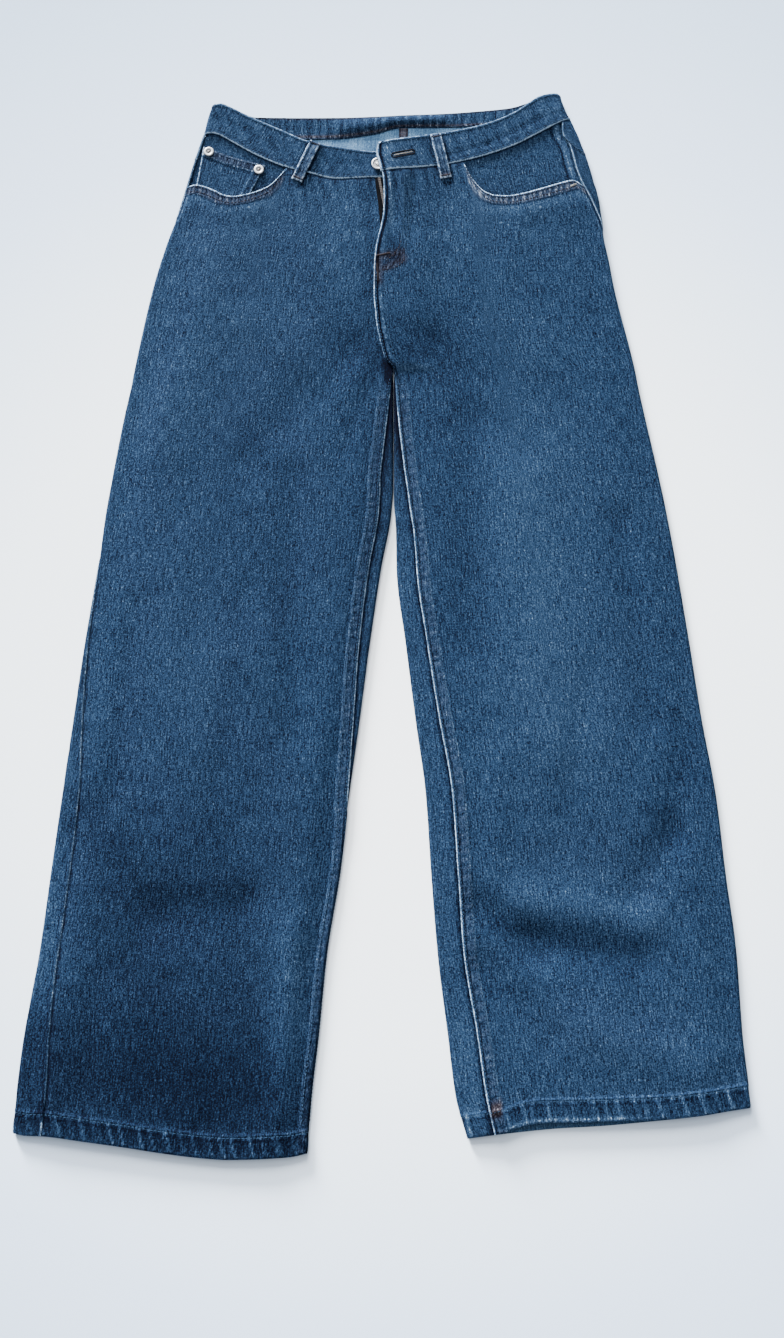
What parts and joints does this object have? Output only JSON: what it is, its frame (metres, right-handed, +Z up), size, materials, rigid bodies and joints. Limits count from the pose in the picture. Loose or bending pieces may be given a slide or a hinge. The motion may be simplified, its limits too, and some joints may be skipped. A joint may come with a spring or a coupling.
{
  "type": "wide leg jeans",
  "caption": "Wide leg five-pocket denim jeans laid flat, front up, with waistband unbuttoned, lapped zip fly, coin pocket, belt loops and turned hems.",
  "frame": {"origin": "middle of the footprint on the surface that the jeans lie on", "axes": "+Y from the hems to the waist, +X to the wearer's left, +Z up out of the front side"},
  "size_m": [0.7173, 1.1516, 0.0128],
  "materials": {
    "denim": "mid-blue faded cotton twill, matt, with a visible diagonal grain and paler worn seams",
    "zip_tape": "dark woven polyester tape with brown metal teeth",
    "silver_metal": "worn silver-coloured metal with a brass centre"
  },
  "bodies": {
    "root": {"front_right": "denim", "front_left": "denim", "back_right": "denim", "back_left": "denim", "yoke_right": "denim", "yoke_left": "denim", "waistband": "denim", "pocket_facing_right": "denim", "pocket_facing_left": "denim", "coin_pocket": "denim", "back_pocket_right": "denim", "back_pocket_left": "denim", "belt_loop_front_right": "denim", "belt_loop_front_left": "denim", "belt_loop_rear_right": "denim", "belt_loop_rear_middle": "denim", "belt_loop_rear_left": "denim", "zip_tape": "zip_tape", "button": "silver_metal", "rivet_1": "silver_metal", "rivet_2": "silver_metal"}
  },
  "joints": []
}
